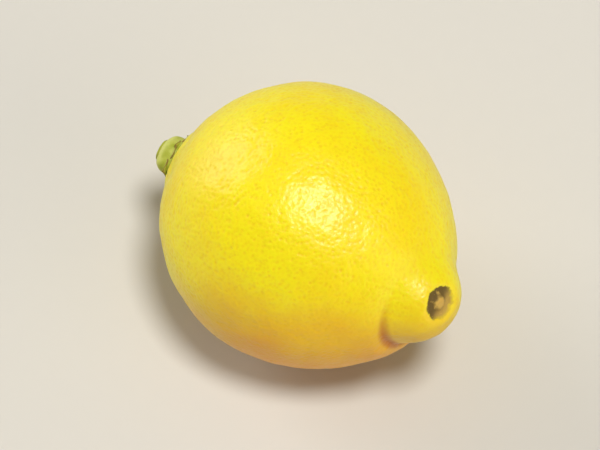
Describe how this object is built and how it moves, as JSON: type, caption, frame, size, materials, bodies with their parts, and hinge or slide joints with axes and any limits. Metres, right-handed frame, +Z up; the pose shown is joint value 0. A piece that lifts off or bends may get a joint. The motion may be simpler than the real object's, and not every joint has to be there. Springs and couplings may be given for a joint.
{
  "type": "lemon",
  "caption": "Whole ripe lemon lying on its side, with a broad nipple at one end and a green calyx round a cut stem stub at the other.",
  "frame": {"origin": "on the surface that the lemon rests on, below the middle of its overall length and width", "axes": "+X along the lemon's long axis towards the nipple, -X towards the stem end, +Z up"},
  "size_m": [0.0852, 0.069, 0.0684],
  "materials": {
    "rind": "waxy yellow citrus rind, pitted with oil glands, half glossy",
    "calyx": "matte green sepals, browned at their edges",
    "stem": "pale dry cut stem end with a green-brown bark edge"
  },
  "bodies": {
    "root": {"fruit": "rind", "calyx": "calyx", "stem_stub": "stem"}
  },
  "joints": []
}
